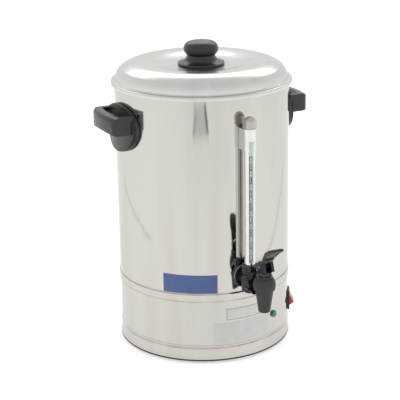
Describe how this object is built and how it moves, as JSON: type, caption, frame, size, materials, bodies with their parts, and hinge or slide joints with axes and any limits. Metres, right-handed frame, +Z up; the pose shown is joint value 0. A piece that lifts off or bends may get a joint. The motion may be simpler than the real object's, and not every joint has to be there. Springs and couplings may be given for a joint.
{
  "type": "coffee urn",
  "caption": "Steel percolating coffee urn with domed lid, black knob, two side handles, sight gauge, lever tap, and a base with rocker switch, pilot lamp and rear inlet.",
  "frame": {"origin": "on the table, under the middle of the urn", "axes": "+Z up, the tap and sight gauge face -Y, +X to the right when seen from the front"},
  "size_m": [0.339, 0.3757, 0.4728],
  "materials": {
    "polished_steel": "polished",
    "bright_steel": "plain zinc-bright",
    "chrome_trim": "bright",
    "black_plastic": "satin black",
    "gloss_black": "glossy black",
    "cover_black": "satin black",
    "black_rubber": "matt",
    "silicone": "milky, matt",
    "brass": "plain",
    "aluminium": "spun, dull",
    "ceramic": "cream, matt",
    "red_plastic": "glossy translucent red",
    "green_plastic": "glossy translucent green",
    "glass_tube": "clear",
    "scale_strip": "white, matt",
    "wire_sleeve": "braided sleeve"
  },
  "bodies": {
    "urn": {"bottom_cover": "cover_black", "foot_ring": "black_rubber", "foot_screws": "bright_steel", "cover_brackets": "bright_steel", "base_skirt": "polished_steel", "tank_shell": "polished_steel", "tank_bottom": "polished_steel", "heat_plate": "aluminium", "heating_element": "bright_steel", "element_clamp": "bright_steel", "clamp_nut": "bright_steel", "boil_thermostat": "gloss_black", "warm_thermostat": "gloss_black", "thermal_cutout": "ceramic", "thermostat_clips": "bright_steel", "terminal_block": "ceramic", "earth_stud": "brass", "wiring": "wire_sleeve", "power_inlet": "black_plastic", "inlet_pins": "brass", "inlet_screws": "bright_steel", "switch_housing": "black_plastic", "switch_terminals": "brass", "pilot_lens": "green_plastic", "pilot_body": "gloss_black", "left_handle": "black_plastic", "right_handle": "black_plastic", "handle_gaskets": "black_rubber", "handle_screws": "bright_steel", "handle_seals": "silicone", "gauge_glass": "glass_tube", "gauge_guard": "chrome_trim", "gauge_scale": "scale_strip", "gauge_bracket": "chrome_trim", "gauge_cap_nut": "chrome_trim", "gauge_washer": "chrome_trim", "gauge_seals": "silicone", "gauge_gland_nut": "black_plastic", "bracket_nut": "bright_steel", "tap_shank": "black_plastic", "shank_washers": "silicone", "shank_nut": "black_plastic", "coupling_nut": "black_plastic", "coupling_gasket": "silicone", "tap_body": "black_plastic", "tap_bonnet": "black_plastic", "tap_spring": "bright_steel"},
    "valve": {"tap_stem": "brass", "seat_cup": "silicone", "lever_pin": "bright_steel"},
    "lever": {"tap_lever": "black_plastic"},
    "rocker": {"switch_rocker": "red_plastic"},
    "pump": {"pump_tube": "aluminium"},
    "basket": {"coffee_basket": "aluminium"},
    "spreader": {"basket_cover": "aluminium"},
    "lid": {"lid_shell": "polished_steel", "lid_ring": "polished_steel", "lid_knob": "black_plastic", "knob_screw": "bright_steel"}
  },
  "joints": [
    {"name": "lever_tilt", "type": "hinge", "parent": "valve", "child": "lever", "pos_m": [0, -0.195, 0.17315], "axis": [1, 0, 0], "range_deg": [0, 30], "stiffness_Nm_per_rad": 0.111, "springref_deg": -26.64},
    {"name": "valve_lift", "type": "slide", "parent": "urn", "child": "valve", "axis": [0, 0, 1], "range_m": [0, 0.0045], "deforming": ["tap_spring"]},
    {"name": "rocker_tilt", "type": "hinge", "parent": "urn", "child": "rocker", "pos_m": [0.10881, -0.06282, 0.0545], "axis": [0.5, 0.866, 0], "range_deg": [-26, 0]},
    {"name": "pump_lift", "type": "slide", "parent": "urn", "child": "pump", "axis": [0, 0, 1], "range_m": [0, 0.325]},
    {"name": "basket_lift", "type": "slide", "parent": "pump", "child": "basket", "axis": [0, 0, 1], "range_m": [0, 0.12]},
    {"name": "spreader_lift", "type": "slide", "parent": "basket", "child": "spreader", "axis": [0, 0, 1], "range_m": [0, 0.035]},
    {"name": "lid_lift", "type": "slide", "parent": "spreader", "child": "lid", "axis": [0, 0, 1], "range_m": [0, 0.1]}
  ],
  "couplings": [
    {"joint": "lever_tilt", "follows": "valve_lift", "rad_per_m": 116.28}
  ]
}
